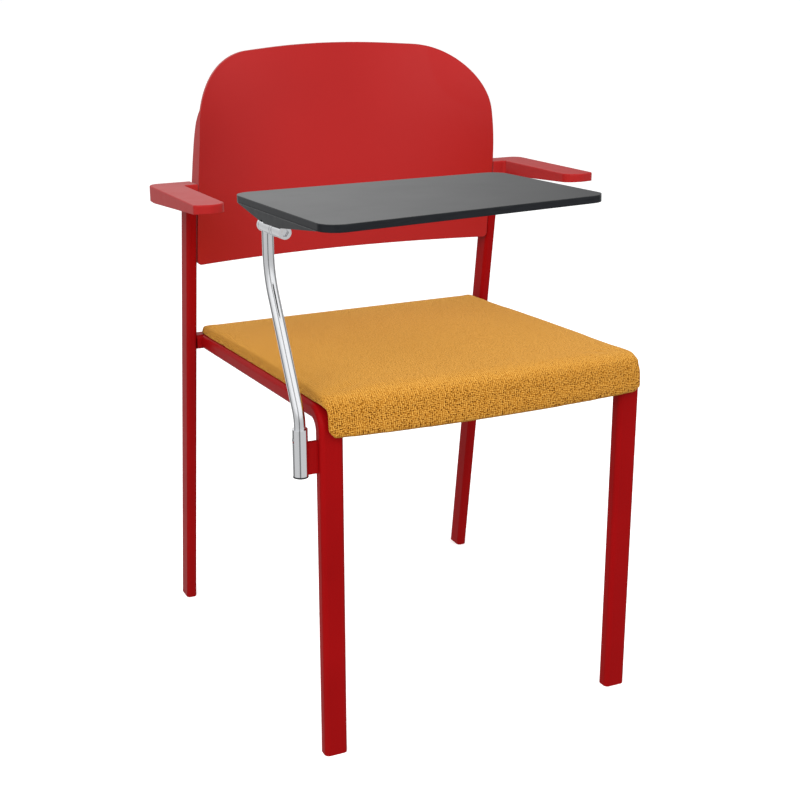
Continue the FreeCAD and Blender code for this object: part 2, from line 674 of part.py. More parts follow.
def make_seat_pad():
    """Foam on the plywood, and the fabric cover round it."""
    outer = seat_form("cover_form", ZERO, ZERO)
    inner = seat_form("cover_room", S.cover_thickness, -S.cover_thickness)
    sub_part(cut("seat_cover_cut", outer, inner), "seat_cover")
    foam = sub_part(seat_form("seat_foam", S.cover_thickness + S.cover_clearance, ZERO), "seat_foam")
    board = new_sketch(foam, "XY_Plane")
    rectangle(board, BOARD_HALF, (BOARD_REAR - APRON_BACK) / 2, None, ZERO, (BOARD_REAR + APRON_BACK) / 2)
    pocket(foam, board, S.board_thickness, back=True)


def seat_circles(body, level, *radii):
    """Circles at the four seat screws."""
    sketch = new_sketch(body, "XY_Plane", level)
    for side, sign in SIDES:
        for along in SEAT_SCREW_PLACES:
            for radius in radii:
                circle(sketch, sign * SEAT_SCREW_X, along, radius)
    return sketch


def make_seat_fixings():
    """Screws up through the rails, into nuts in the plywood."""
    nuts = sub_part(new_body("seat_nuts"), "seat_nuts")
    nuts.AllowCompound = True
    place(nuts, SEAT_FRAME, S.rail_slope)
    thread = S.screw_shank / 2 + S.hole_clearance
    pad(nuts, seat_circles(nuts, ZERO, S.nut_diameter / 2, thread), S.board_thickness)
    screws = sub_part(new_body("seat_screws"), "seat_screws")
    screws.AllowCompound = True
    place(screws, SEAT_FRAME, S.rail_slope)
    pad(screws, seat_circles(screws, -S.tube_deep, S.screw_shank / 2), S.tube_deep + S.board_thickness)
    pad(screws, seat_circles(screws, -S.tube_deep, S.screw_head / 2), S.screw_head_height, back=True)


BACK_HALF = REAR_LEG_INSIDE - S.flange_gap
BACK_BOTTOM = LEG_TOP - S.back_hang
LEG_BACK = REAR_LEG_DEEP / 2


def back_edge(height):
    """Side edge of the back shell, just ahead of the rear legs."""
    return rear_leg_y(height) - LEG_BACK - S.back_proud


def back_band(body, height, edge, front, rear):
    """Curved section of the back at a height, between two depths behind the front of the shell."""
    half = BACK_HALF + S.trim_margin
    centre = back_edge(BACK_BOTTOM) + S.back_sag + (height - BACK_BOTTOM) * tangent(S.back_recline)
    sag = centre - edge
    radius = (square(half) + square(sag)) / (sag * 2)
    sketch = new_sketch(body, "XY_Plane", height)
    arcs = []
    for shift in (front, rear):
        middle = vector(ZERO, centre + shift - radius)
        angle = math.asin(half.value / radius.value)
        ring = Part.Circle(middle, FreeCAD.Vector(0, 0, 1), radius.value)
        arc = sketch.addGeometry(Part.ArcOfCircle(ring, math.pi / 2 - angle, math.pi / 2 + angle), False)
        fix_point(sketch, arc, 1, half, edge + shift)
        fix_point(sketch, arc, 2, -half, edge + shift)
        constrain(sketch, "Radius", arc, size=radius)
        arcs.append(arc)
    for sign, end in ((1, 1), (-1, 2)):
        side = Part.LineSegment(vector(sign * half, edge + front), vector(sign * half, edge + rear))
        line = sketch.addGeometry(side, False)
        constrain(sketch, "Coincident", line, 1, arcs[0], end)
        constrain(sketch, "Coincident", line, 2, arcs[1], end)
    return sketch


def back_layer(body, front, rear):
    """A layer of the back between two depths behind the front of the shell."""
    shoulder = BACK_BOTTOM + S.back_shoulder
    rows = [(BACK_BOTTOM - S.trim_margin, back_edge(BACK_BOTTOM))]
    rows.extend((height, back_edge(height)) for height in (BACK_BOTTOM + S.back_waist, shoulder))
    rows.append((BACK_BOTTOM + S.back_limit, back_edge(shoulder) + S.back_wing_sweep))
    loft(body, [back_band(body, height, edge, front, rear) for height, edge in rows])


def back_outline(sketch, inset, bottom, foot_corner):
    """Outline of the back, seen from the front, shrunk by an inset."""
    half = BACK_HALF - inset
    top_half = half - S.back_taper
    top = BACK_BOTTOM + S.back_peak - inset
    start = BACK_BOTTOM + S.back_taper_start
    trace(sketch, [(-half, bottom, foot_corner), (half, bottom, foot_corner),
                   (half, start, S.back_taper_radius), (top_half, top - S.back_fall, S.back_corner - inset),
                   (ZERO, top, S.back_top_radius), (-top_half, top - S.back_fall, S.back_corner - inset),
                   (-half, start, S.back_taper_radius)])


def cut_flanges(body):
    """Leave the side flanges of a thick layer: their rear edge follows the leg, then curves forward."""
    inside = new_sketch(body, "XZ_Plane")
    back_outline(inside, S.flange_wall, BACK_BOTTOM - S.trim_margin * 2, None)
    pocket(body, inside, both=True)
    low = BACK_BOTTOM - S.trim_margin * 2
    bend = BACK_BOTTOM + S.flange_bend
    top = BACK_BOTTOM + S.flange_top
    shoulder = back_edge(BACK_BOTTOM + S.back_shoulder)
    ceiling = BACK_BOTTOM + S.back_limit + S.trim_margin
    behind = S.back_sag + S.back_wing_sweep + S.flange_stock * 2
    rear = new_sketch(body, "YZ_Plane")
    trace(rear, [(rear_leg_y(low) + LEG_BACK, low, None),
                 (rear_leg_y(bend) + LEG_BACK, bend, S.flange_bend_radius),
                 (shoulder + S.back_wall, top, None), (shoulder - S.flange_stock, top, None),
                 (shoulder - S.flange_stock, ceiling, None), (shoulder + behind, ceiling, None),
                 (shoulder + behind, low, None)])
    pocket(body, rear, both=True)


def make_back_shell():
    """Concave shell between the rear legs, with side flanges that the screws hold."""
    body = sub_part(new_body("back_shell"), "back_shell")
    body.AllowCompound = True
    back_layer(body, S.back_wall / 2, S.flange_stock)
    cut_flanges(body)
    back_layer(body, ZERO, S.back_wall)
    outline = new_sketch(body, "XZ_Plane")
    top = BACK_BOTTOM + S.back_limit + S.trim_margin
    bottom = BACK_BOTTOM - S.trim_margin * 2
    rectangle(outline, BACK_HALF + S.trim_margin * 3, (top - bottom) / 2, None, ZERO, (top + bottom) / 2)
    back_outline(outline, ZERO, BACK_BOTTOM, S.back_foot_corner)
    pocket(body, outline, both=True)
    for side, sign in SIDES:
        for start, radius, depth in ((BACK_HALF, S.back_screw_shank / 2, S.flange_wall),
                                     (BACK_HALF - S.flange_wall, S.screw_head / 2, S.screw_head_height)):
            holes = new_sketch(body, "YZ_Plane", sign * start)
            for y, z in back_screw_points():
                circle(holes, y, z, radius + S.hole_clearance)
            pocket(body, holes, depth, back=sign < 0)


def make_back_screws():
    """Screws through the flanges into the rear legs and the armrest plugs."""
    body = sub_part(new_body("back_screws"), "back_screws")
    body.AllowCompound = True
    inside = BACK_HALF - S.flange_wall
    for side, sign in SIDES:
        for radius, length, inward in ((S.back_screw_shank / 2, S.back_screw_length, False),
                                       (S.screw_head / 2, S.screw_head_height, True)):
            sketch = new_sketch(body, "YZ_Plane", sign * inside)
            for y, z in back_screw_points():
                circle(sketch, y, z, radius)
            pad(body, sketch, length, back=(sign < 0) != inward)


LEG_TOP_Y = rear_leg_y(LEG_TOP)
ARM_FRONT = LEG_TOP_Y - S.arm_length
ARM_REAR = LEG_TOP_Y + S.arm_rear
ARM_REAR_TOP = LEG_TOP + S.arm_thickness
ARM_FRONT_TOP = ARM_REAR_TOP + S.arm_climb


def arm_top(y):
    """Height of the armrest top."""
    return ARM_FRONT_TOP - (y - ARM_FRONT) * (S.arm_climb / (ARM_REAR - ARM_FRONT))


def make_armrest(side, sign):
    """Moulded arm that reaches forward from the rear leg, and plugs into it."""
    body = sub_part(new_body(f"armrest_{side}"), f"armrest_{side}")
    inboard = BACK_HALF + S.arm_gap
    inner = inboard + S.arm_step
    outer = inner + S.arm_width
    notch = LEG_TOP_Y - S.arm_notch
    plan = new_sketch(body, "XY_Plane", LEG_TOP)
    trace(plan, [(sign * inboard, notch, None), (sign * inner, notch, S.arm_notch_corner),
                 (sign * inner, ARM_FRONT, S.arm_tip_corner),
                 (sign * (inner + outer) / 2, ARM_FRONT - S.arm_bulge, S.arm_bulge_radius),
                 (sign * outer, ARM_FRONT, S.arm_outer_corner),
                 (sign * outer, ARM_REAR, S.arm_rear_corner), (sign * inboard, ARM_REAR, None)])
    pad(body, plan, S.arm_thickness + S.arm_climb + S.trim_margin)
    front = ARM_FRONT - S.arm_bulge * 2
    rear = ARM_REAR + S.trim_margin
    flat = LEG_TOP_Y - S.arm_seat
    rise = (ARM_FRONT_TOP - S.arm_tip - LEG_TOP) / (flat - ARM_FRONT)
    ceiling = arm_top(front) + S.trim_margin * 3
    profile = new_sketch(body, "YZ_Plane")
    trace(profile, [(front, arm_top(front), None), (rear, arm_top(rear), None),
                    (rear, ceiling, None), (front, ceiling, None)])
    trace(profile, [(front, LEG_TOP - S.trim_margin, None), (flat, LEG_TOP - S.trim_margin, None),
                    (flat, LEG_TOP, None), (front, LEG_TOP + (flat - front) * rise, None)])
    shaped = pocket(body, profile, both=True)
    round_edges(body, shaped, S.arm_edge, on_arm_top)
    inset = S.tube_wall + S.plug_clearance
    half = S.leg_wide / 2 - inset
    plug = new_sketch(body, "XY_Plane", LEG_TOP)
    rectangle(plug, half, LEG_BACK - inset, S.leg_corner - inset, sign * REAR_LEG_X, LEG_TOP_Y)
    pad(body, plug, S.arm_plug_length, back=True, along=(-tangent(S.rear_lean), 1))
    hole = new_sketch(body, "YZ_Plane", sign * (BACK_HALF - S.flange_wall))
    y, z = back_screw_points()[1]
    circle(hole, y, z, S.back_screw_shank / 2 + S.hole_clearance)
    pocket(body, hole, S.back_screw_length + S.hole_clearance, back=sign > 0)


def on_arm_top(edge):
    """Whether an edge lies in the sloping top of an armrest."""
    middle = edge.valueAt((edge.FirstParameter + edge.LastParameter) / 2)
    return abs(middle.z - arm_top(as_size(middle.y)).value) < TOUCH


POST_X = RAIL_SIDE + S.post_reach
POST_Y = S.post_setback - S.front_leg_reach
SOCKET_BOTTOM = S.seat_plane - S.socket_drop
SLOT_LEVEL = SOCKET_BOTTOM + S.slot_level
HINGE_HEIGHT = SOCKET_BOTTOM + S.hinge_rise
SOCKET_TUBE_BOTTOM = SOCKET_BOTTOM + S.socket_plug_disc
ARM_PLUG_BOTTOM = SOCKET_TUBE_BOTTOM + S.socket_plug_stem + S.end_gap
ARM_TUBE_BOTTOM = ARM_PLUG_BOTTOM + S.arm_plug_disc
SOCKET_BORE = S.arm_radius + S.running_gap


def make_socket():
    """Socket tube with its limiting slot, its lower plug and the bracket that joins it to the front leg."""
    tube = sub_part(new_body("socket_tube"), "socket_tube")
    place(tube, (-POST_X, POST_Y, SOCKET_TUBE_BOTTOM))
    section = new_sketch(tube, "XY_Plane")
    circle(section, ZERO, ZERO, S.socket_radius)
    circle(section, ZERO, ZERO, SOCKET_BORE)
    pad(tube, section, S.socket_length - S.socket_plug_disc)
    first = S.pin_bearing - S.swivel_out - S.slot_margin
    last = S.pin_bearing + S.swivel_in + S.slot_margin
    corners = [(ZERO, ZERO, None)]
    for share in SLOT_SHARES:
        bearing = first + (last - first) * share
        corners.append((cosine(bearing) * S.socket_radius * 2, sine(bearing) * S.socket_radius * 2, None))
    slot = new_sketch(tube, "XY_Plane", SLOT_LEVEL - S.slot_height / 2 - SOCKET_TUBE_BOTTOM)
    trace(slot, corners)
    pocket(tube, slot, S.slot_height, back=True)
    plug = sub_part(new_body("socket_plug"), "socket_plug")
    place(plug, (-POST_X, POST_Y, SOCKET_BOTTOM))
    disc = new_sketch(plug, "XY_Plane")
    circle(disc, ZERO, ZERO, S.socket_radius)
    pad(plug, disc, S.socket_plug_disc)
    stem = new_sketch(plug, "XY_Plane", S.socket_plug_disc)
    circle(stem, ZERO, ZERO, SOCKET_BORE - S.plug_clearance)
    pad(plug, stem, S.socket_plug_stem)
    bracket = sub_part(new_body("socket_bracket"), "socket_bracket")
    place(bracket, (-POST_X, POST_Y, SOCKET_BOTTOM + S.bracket_lift))
    plate = new_sketch(bracket, "XY_Plane")
    rectangle(plate, S.post_reach / 2, S.bracket_wall / 2, None, S.post_reach / 2, ZERO)
    pad(bracket, plate, S.bracket_height)
    cope = new_sketch(bracket, "XY_Plane")
    circle(cope, ZERO, ZERO, S.socket_radius)
    pocket(bracket, cope, S.bracket_height, back=True)


AXLE_BORE = S.axle_radius + S.running_gap
HINGE_Y = POST_Y + S.arm_set
HINGE_FRAME = (-POST_X, HINGE_Y, HINGE_HEIGHT)


def make_tablet_arm():
    """Bent arm tube with its barrel, stop pin and lower plug."""
    tube = new_body("arm_tube_form")
    place(tube, (-POST_X, POST_Y, ZERO))
    lower_bend = SOCKET_BOTTOM + S.arm_kink
    upper_bend = lower_bend + S.arm_set / tangent(S.arm_incline)
    path = new_sketch(tube, "YZ_Plane")
    trace(path, [(ZERO, ARM_TUBE_BOTTOM, None), (ZERO, lower_bend, S.arm_bend_low),
                 (S.arm_set, upper_bend, S.arm_bend_high), (S.arm_set, HINGE_HEIGHT, None)], closed=False)
    section = new_sketch(tube, "XY_Plane", ARM_TUBE_BOTTOM)
    circle(section, ZERO, ZERO, S.arm_radius)
    circle(section, ZERO, ZERO, S.arm_radius - S.arm_tube_wall)
    pipe(tube, section, path)
    pin = sub_part(new_body("arm_stop_pin"), "arm_stop_pin")
    place(pin, (-POST_X, POST_Y, SLOT_LEVEL))
    pin.Placement.Rotation = FreeCAD.Rotation(Z_AXIS, S.pin_bearing.value)
    bind(pin, "Placement.Rotation.Angle", S.pin_bearing)
    end = new_sketch(pin, "YZ_Plane", S.pin_inner)
    circle(end, ZERO, ZERO, S.pin_radius)
    pad(pin, end, S.socket_radius - S.pin_inner)
    length = S.barrel_rear + S.barrel_front
    room = hinge_round("barrel_room", S.barrel_radius, None, S.barrel_rear, length)
    taken = doc.addObject("Part::Compound", "arm_tube_taken")
    taken.Links = [room, pin]
    sub_part(cut("arm_tube_cut", tube, taken), "arm_tube")
    barrel = hinge_round("hinge_barrel", S.barrel_radius, AXLE_BORE, S.barrel_rear, length)
    sub_part(barrel, "hinge_barrel")
    plug = sub_part(new_body("arm_plug"), "arm_plug")
    place(plug, (-POST_X, POST_Y, ARM_PLUG_BOTTOM))
    disc = new_sketch(plug, "XY_Plane")
    circle(disc, ZERO, ZERO, S.arm_radius)
    pad(plug, disc, S.arm_plug_disc)
    stem = new_sketch(plug, "XY_Plane", S.arm_plug_disc)
    circle(stem, ZERO, ZERO, S.arm_radius - S.arm_tube_wall - S.plug_clearance)
    pad(plug, stem, S.arm_plug_stem)


def hinge_round(name, radius, bore, rear, length):
    """A round piece on the hinge axis, from its rear end forward."""
    body = new_body(name)
    place(body, HINGE_FRAME, S.hinge_tilt)
    section = new_sketch(body, "XZ_Plane", -rear)
    circle(section, ZERO, ZERO, radius)
    if bore is not None:
        circle(section, ZERO, ZERO, bore)
    pad(body, section, length)
    return body


REAR_WASHER = S.barrel_rear + S.end_gap
REAR_LUG = REAR_WASHER + S.washer_thickness
REAR_NUT = REAR_LUG + S.lug_thickness
FRONT_WASHER = -(S.barrel_front + S.end_gap)
FRONT_LUG = FRONT_WASHER - S.washer_thickness
FRONT_CAP = FRONT_LUG - S.lug_thickness


def make_lug(name, rear):
    """Eye on the axle with a neck that stands in the tablet support."""
    body = sub_part(new_body(name), name)
    place(body, HINGE_FRAME, S.hinge_tilt)
    eye = new_sketch(body, "XZ_Plane", -rear)
    circle(eye, ZERO, ZERO, S.barrel_radius)
    pad(body, eye, S.lug_thickness)
    neck = new_sketch(body, "XZ_Plane", -rear)
    rectangle(neck, S.lug_neck, S.lug_rise / 2, None, ZERO, S.lug_rise / 2)
    pad(body, neck, S.lug_thickness)
    bore = new_sketch(body, "XZ_Plane", -rear)
    circle(bore, ZERO, ZERO, AXLE_BORE)
    pocket(body, bore, S.lug_thickness, back=True)


def make_hinge():
    """Axle, lugs, washers, nut and cap that carry the tablet on the barrel."""
    make_lug("hinge_lug_rear", REAR_NUT)
    make_lug("hinge_lug_front", FRONT_LUG)
    washers = [hinge_round("rear_washer", S.barrel_radius, AXLE_BORE, REAR_LUG, S.washer_thickness),
               hinge_round("front_washer", S.barrel_radius, AXLE_BORE, FRONT_WASHER, S.washer_thickness)]
    pair = doc.addObject("Part::Compound", "hinge_washer_pair")
    pair.Links = washers
    sub_part(pair, "hinge_washers")
    rear_end = REAR_NUT + S.nut_length
    sub_part(hinge_round("hinge_nut", S.nut_radius, AXLE_BORE, rear_end, S.nut_length), "hinge_nut")
    sub_part(hinge_round("hinge_axle", S.axle_radius, None, rear_end, rear_end - FRONT_CAP + S.cap_bore),
             "hinge_axle")
    cap = sub_part(hinge_round("hinge_cap", S.cap_radius, None, FRONT_CAP, S.cap_length), "hinge_cap")
    bore = new_sketch(cap, "XZ_Plane", -FRONT_CAP)
    circle(bore, ZERO, ZERO, AXLE_BORE)
    pocket(cap, bore, S.cap_bore, back=True)
    key = new_sketch(cap, "XZ_Plane", S.cap_length - FRONT_CAP)
    reach = S.key_flat / 2 / cosine(HEXAGON_TURN / 2)
    turns = [HEXAGON_TURN * count for count in range(HEXAGON_SIDES)]
    trace(key, [(reach * cosine(turn), reach * sine(turn), None) for turn in turns])
    pocket(cap, key, S.key_depth)


def outboard_edge(y):
    """Outboard edge line of the tablet."""
    return (S.tablet_rear - y) * (S.tablet_toe / S.tablet_outer_length) - S.tablet_overhang


def tablet_sheet(name, level, thickness):
    """A sheet of the tablet's outline."""
    body = sub_part(new_body(name), name)
    place(body, HINGE_FRAME, S.hinge_tilt)
    inner = S.tablet_width - S.tablet_overhang
    outer_front = S.tablet_rear - S.tablet_outer_length
    outline = new_sketch(body, "XY_Plane", level)
    trace(outline, [(-S.tablet_overhang, S.tablet_rear, S.tablet_corner),
                    (outboard_edge(outer_front), outer_front, S.tablet_corner),
                    (inner, S.tablet_rear - S.tablet_inner_length, S.tablet_corner),
                    (inner - S.tablet_splay, S.tablet_rear, S.tablet_corner)])
    pad(body, outline, thickness)
    return body


def support_circles(body, radius, level):
    """Circles at the screws of the tablet support."""
    sketch = new_sketch(body, "XY_Plane", level)
    for ahead in SUPPORT_SCREWS:
        circle(sketch, S.support_screw_x, -ahead, radius)
    return sketch


def make_tablet():
    """Writing tablet with its top sheet, the moulded support under it and the screws."""
    core = tablet_sheet("tablet_core", S.tablet_rise, S.tablet_core_thickness)
    tablet_sheet("tablet_laminate", S.tablet_rise + S.tablet_core_thickness, S.laminate_thickness)
    hole = S.support_screw_shank / 2 + S.hole_clearance
    bite = S.support_screw_bite + S.hole_clearance
    pocket(core, support_circles(core, hole, S.tablet_rise), bite, back=True)
    support = sub_part(new_body("hinge_support"), "hinge_support")
    place(support, HINGE_FRAME, S.hinge_tilt)
    base = S.support_base
    levels = [(base, -S.support_base_rear, -S.support_base_front, S.support_base_inner),
              (S.tablet_rise, S.support_top_rear, -S.support_top_front, S.support_top_inner)]
    sections = []
    for level, rear, front, inner in levels:
        sketch = new_sketch(support, "XY_Plane", level)
        trace(sketch, [(outboard_edge(rear) - S.support_proud, rear, None),
                       (outboard_edge(front) - S.support_proud, front, None),
                       (inner, front, None), (inner, rear, None)])
        sections.append(sketch)
    loft(support, sections, ruled=True)
    channel = new_sketch(support, "XZ_Plane")
    circle(channel, ZERO, ZERO, S.barrel_radius + S.support_gap)
    pocket(support, channel, both=True)
    relief = new_sketch(support, "YZ_Plane")
    circle(relief, ZERO, ZERO, S.arm_radius + S.support_arm_gap)
    pocket(support, relief, S.tablet_overhang * 2)
    head_top = S.support_screw_level + S.support_screw_head_height
    recess = S.support_screw_head / 2 + S.hole_clearance
    pocket(support, support_circles(support, hole, base), S.tablet_rise - base, back=True)
    pocket(support, support_circles(support, recess, base), head_top - base, back=True)
    slots = new_sketch(support, "XY_Plane", base)
    for rear in (REAR_NUT, FRONT_LUG):
        rectangle(slots, S.lug_neck + S.hole_clearance, S.lug_thickness / 2 + S.hole_clearance, None,
                  ZERO, rear - S.lug_thickness / 2)
    pocket(support, slots, S.lug_rise - base, back=True)
    screws = sub_part(new_body("support_screws"), "support_screws")
    screws.AllowCompound = True
    place(screws, HINGE_FRAME, S.hinge_tilt)
    pad(screws, support_circles(screws, S.support_screw_shank / 2, head_top),
        S.tablet_rise - head_top + S.support_screw_bite)
    heads = support_circles(screws, S.support_screw_head / 2, head_top)
    pad(screws, heads, S.support_screw_head_height, back=True)


def main():
    for side, sign in SIDES:
        make_side_frame(side, sign)
        make_rear_leg(side, sign)
        make_front_foot(side, sign)
        make_rear_foot(side, sign)
    make_cross_rails()
    make_seat_board()
    make_seat_pad()
    make_seat_fixings()
    make_back_shell()
    make_back_screws()
    for side, sign in SIDES:
        make_armrest(side, sign)
    make_socket()
    make_tablet_arm()
    make_hinge()
    make_tablet()
    check_document()
    write_parts()


def check_document():
    """Stop if any feature failed, or a sub-part has no valid solid."""
    doc.recompute()
    for thing in doc.Objects:
        if "Invalid" in thing.State or "Error" in thing.State:
            raise RuntimeError(f"{thing.Name} failed: {thing.State}")
    for thing in SUBPARTS:
        if thing.Shape.isNull() or not thing.Shape.isValid() or not thing.Shape.Solids:
            raise RuntimeError(f"{thing.Label} has no valid solid")


def write_parts():
    os.makedirs("parts", exist_ok=True)
    for thing in SUBPARTS:
        thing.Shape.exportStep(f"parts/{thing.Label}.step")


main()
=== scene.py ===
import math

import bpy
import numpy as np
from mathutils import Matrix, Vector


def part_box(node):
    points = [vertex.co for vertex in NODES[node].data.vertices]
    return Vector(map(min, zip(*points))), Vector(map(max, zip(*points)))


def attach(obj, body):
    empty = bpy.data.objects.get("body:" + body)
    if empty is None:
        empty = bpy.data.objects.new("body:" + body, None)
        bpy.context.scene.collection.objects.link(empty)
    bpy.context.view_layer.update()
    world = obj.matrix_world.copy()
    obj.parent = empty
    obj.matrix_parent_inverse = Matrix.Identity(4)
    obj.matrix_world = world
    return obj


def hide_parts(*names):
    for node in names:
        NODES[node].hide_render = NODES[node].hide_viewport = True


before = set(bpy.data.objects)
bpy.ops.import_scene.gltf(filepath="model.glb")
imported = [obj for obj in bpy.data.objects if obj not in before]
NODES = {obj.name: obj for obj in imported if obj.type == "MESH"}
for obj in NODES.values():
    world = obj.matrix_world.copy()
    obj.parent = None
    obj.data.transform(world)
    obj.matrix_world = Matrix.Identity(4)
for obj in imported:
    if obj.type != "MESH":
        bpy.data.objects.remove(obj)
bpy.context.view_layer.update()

MM = 0.001

# Camera of the photograph, in metres and degrees
CAMERA_PLACE = (-0.823, -1.726, 1.008)
CAMERA_DOWN = 18.358
CAMERA_RIGHT = 25.1505
CAMERA_LENS = 66.17
CAMERA_SENSOR = 36.0

# Colours, linear
PAINT_RED = (0.262, 0.0030, 0.0036)
SHELL_RED = (0.335, 0.0085, 0.0082)
CHROME_GREY = (0.80, 0.81, 0.83)
STEEL_GREY = (0.52, 0.53, 0.55)
BOARD_DARK = (0.008, 0.009, 0.011)
TOP_GREY = (0.022, 0.0235, 0.025)
PLASTIC_DARK = (0.016, 0.017, 0.019)
WOOD_LIGHT = (0.52, 0.33, 0.17)
WOOD_DARK = (0.36, 0.20, 0.09)
# Yarn tones: painted shade in the pits and dips, the yarn's own mustard, and a painted highlight on the
# yarn tops
YARN_PIT = (0.085, 0.024, 0.001)
YARN_LOW = (0.330, 0.122, 0.008)
YARN_HIGH = (0.520, 0.247, 0.037)
YARN_TIP_HIGHLIGHT = (0.700, 0.385, 0.085)
SHEEN_TINT = (1.0, 0.62, 0.20)
FLOOR_PALE = (0.94, 0.94, 0.94)
WHITE = (1.0, 1.0, 1.0)

# Finishes: refraction of lacquer and plastic, and edge rounding in metres
COAT_IOR = 1.5
EDGE_SAMPLES = 4
EDGE_FINE = 0.5 * MM
EDGE_MOULDED = 1.2 * MM
PLY_SHARE = 0.4

# Rail tops, which the pad lies on: height over the origin, and the angle that they rise ahead
SEAT_HEIGHT = 448.8 * MM
SEAT_SLOPE = math.radians(3.5)
LEGS_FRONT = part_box("side_frame_right")[0][1]

# Seat pad: sizes in metres, and the cloth's pressure and frames
PAD_VOXEL = 4 * MM
PAD_REACH = 8 * MM
PAD_BRINK = 9 * MM
PAD_RIM = 3 * MM
PAD_SMOOTH_STEPS = 5
PAD_PRESSURE = 4.0
PAD_FRAMES = 20
PAD_CAP = 1.5 * MM
PAD_SETTLE_STEPS = 4

# Where the pad is free to swell, from not at all to fully: parts of its normals, and depths from its edges
UP_FACING = (0.05, 0.35)
AHEAD_FACING = (0.2, 0.5)
ASIDE_FACING = (-0.3, 0.0)
ROLL_DEPTHS = (40 * MM, 20 * MM)
SIDE_DEPTHS = (6 * MM, 4 * MM)
FULLY_FREE = 0.999
LEAST_LENGTH = 1e-9

# Weave of the seat cover, in metres, in yarns, and in shares of the tone from a pit to a yarn's top; that
# tone is painted shade in the pits, the dips and on the apron, and a painted highlight on the yarn tops
WEAVE = "weave"
YARN_PITCH = 2.6 * MM
YARN_DRIFT = 1.6
YARN_NIP = 0.65
YARN_SIDE = 0.30
FUZZ_TONE = 0.25
PIT_PITCH = 3.0 * MM
PIT_RADII = (0.12, 0.42)
PIT_CHANCES = (0.25, 0.95)
PIT_LEAST = 0.2
# Painted shade: the share of it that the pits keep on top, its depth in the pits, and its depth on the
# apron
PIT_ON_TOP = 0.5
PIT_SHADE = 0.9
APRON_SHADE = 0.10
YARN_SHADE_TONES = [(0.04, YARN_PIT), (0.36, YARN_LOW), (0.72, YARN_HIGH), (1.0, YARN_TIP_HIGHLIGHT)]

# Parts of the pad's normals over which the weave turns down at the sides and the front, and over which the
# painted shade of the apron and the pits sets in
SIDE_TURN = (0.4, 0.9)
FRONT_TURN = (0.0, 1.0)
DOWN_TURN = (0.5, 1.0)

# What shiny surfaces see of the studio: brightness as a whole, of its dark flags, and by height
ROOM_GAIN = 1.15
FLAG_DARK = 0.25
ROOM_HEIGHTS = [(-1.0, 0.45), (-0.35, 0.60), (-0.10, 0.55), (0.10, 0.62),
                (0.30, 0.90), (0.70, 1.0), (1.0, 0.8)]

# Dark flags in it, in degrees: where their bearings start, and each one's bearing, half width and soft edge
FLAG_BEARING = -111.0
FLAGS = [(-112, 9, 10), (-4, 4, 10), (112, 9, 10), (161, 5, 13)]

# Studio: brightness behind and all round, glow and reach of the floor, and what the lights look at
BACKDROP = 1.07
AMBIENT = 0.70
FLOOR_GLOW = 0.38
FLOOR_REACH = 40.0
LIGHT_TARGET = (0, 0, 0.45)

# Square soft lights: place and side in metres, and power in watts
SOFT_LIGHTS = {
    "front": ((-0.9, -2.6, 1.9), 2.0, 46),
    "key": ((-2.6, -1.6, 2.4), 2.5, 60),
    "fill": ((2.6, -1.6, 2.0), 2.5, 20),
    "overhead": ((0.6, 0.2, 3.2), 3.0, 30),
}

# CAD nodes that shade nothing, and those that shiny surfaces don't show
UNSHADING = ["tablet_core", "tablet_laminate"]
UNMIRRORED = ["tablet_core", "tablet_laminate", "back_shell", "armrest_right", "armrest_left"]


